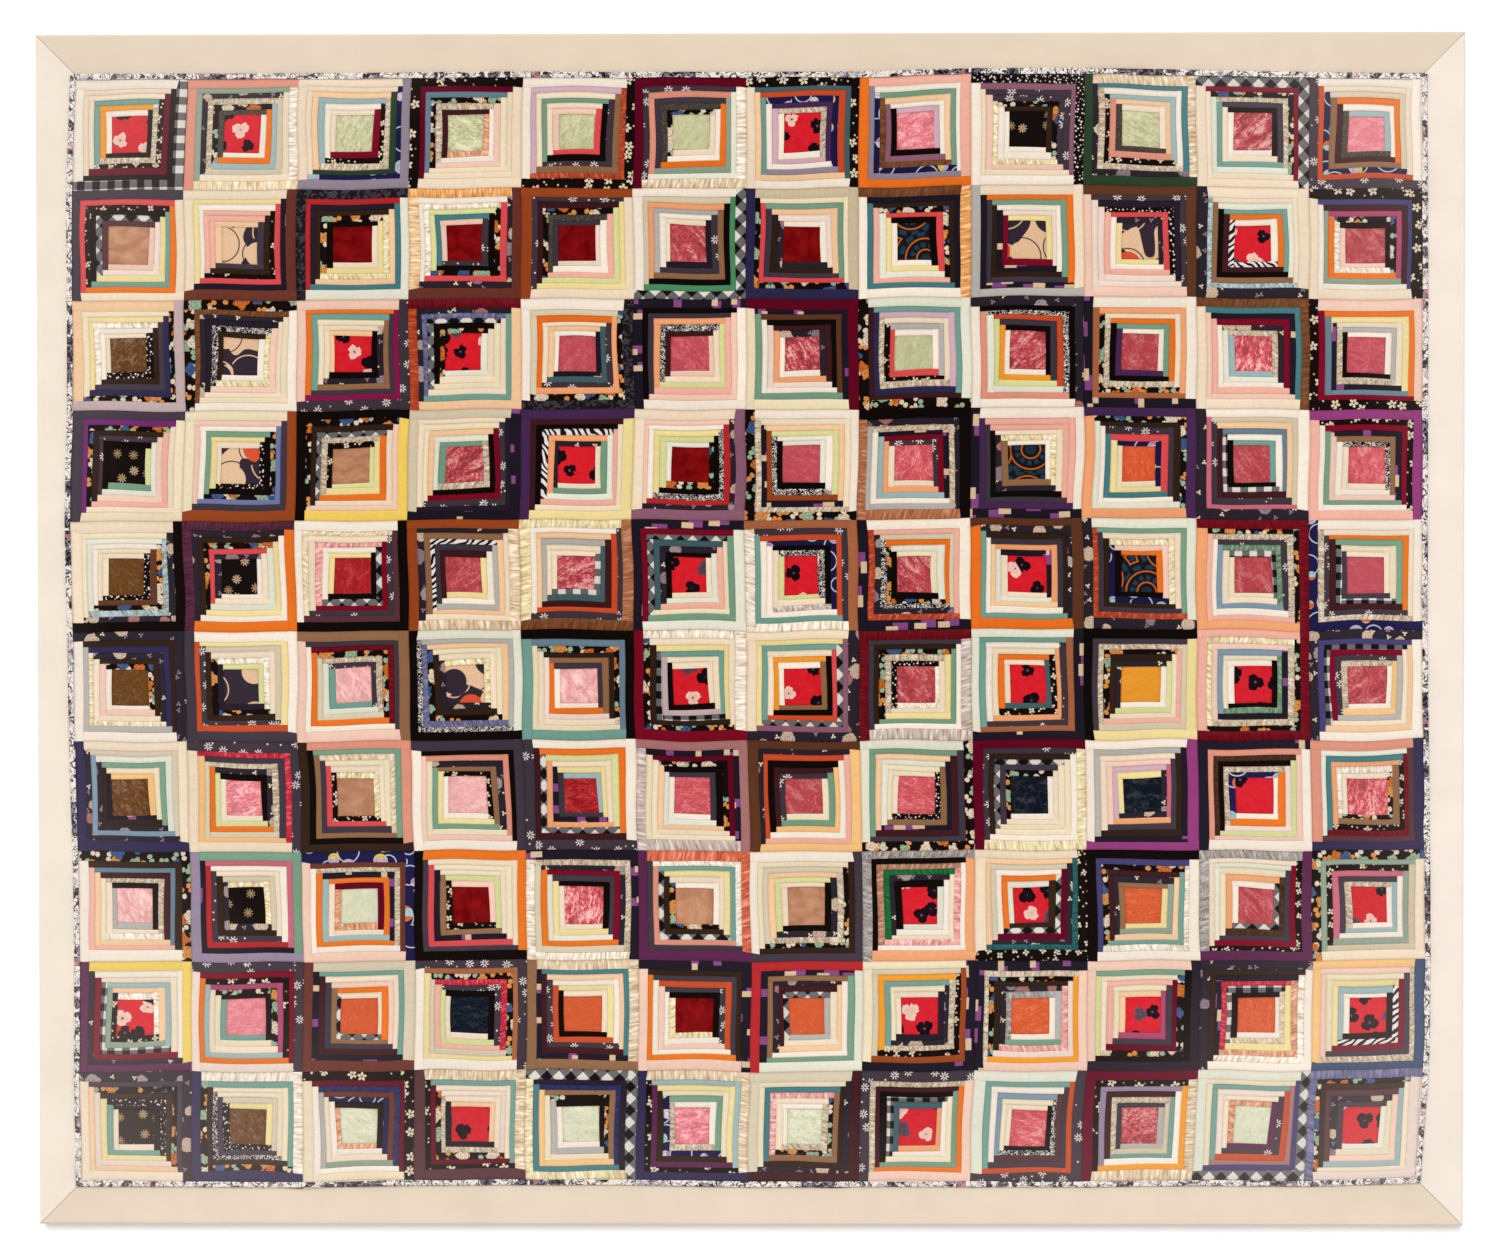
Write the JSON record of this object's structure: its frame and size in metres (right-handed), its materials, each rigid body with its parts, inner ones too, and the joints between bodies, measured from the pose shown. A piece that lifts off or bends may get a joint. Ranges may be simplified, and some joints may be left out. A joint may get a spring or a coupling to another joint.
{
  "type": "log cabin quilt on a stretcher frame",
  "caption": "Flat pieced log cabin quilt in a barn raising setting, bound all round and held on a mitred frame faced with cream cloth.",
  "frame": {"origin": "centre of the frame's footprint, on the surface that its rails rest on", "axes": "+X to the quilt's right, +Y to its top edge, +Z out of its face"},
  "size_m": [1.938, 1.619, 0.0323],
  "materials": {
    "quilt_cloth": "pieced wool, crepe, velvet and satin patches",
    "binding_cloth": "printed crepe in black, navy and white",
    "border_cloth": "plain cream cotton",
    "rail_wood": "planed pine"
  },
  "bodies": {
    "root": {"quilt": "quilt_cloth", "binding_top": "binding_cloth", "binding_right": "binding_cloth", "binding_bottom": "binding_cloth", "binding_left": "binding_cloth", "border_top": "border_cloth", "border_right": "border_cloth", "border_bottom": "border_cloth", "border_left": "border_cloth", "rail_top": "rail_wood", "rail_right": "rail_wood", "rail_bottom": "rail_wood", "rail_left": "rail_wood"}
  },
  "joints": []
}
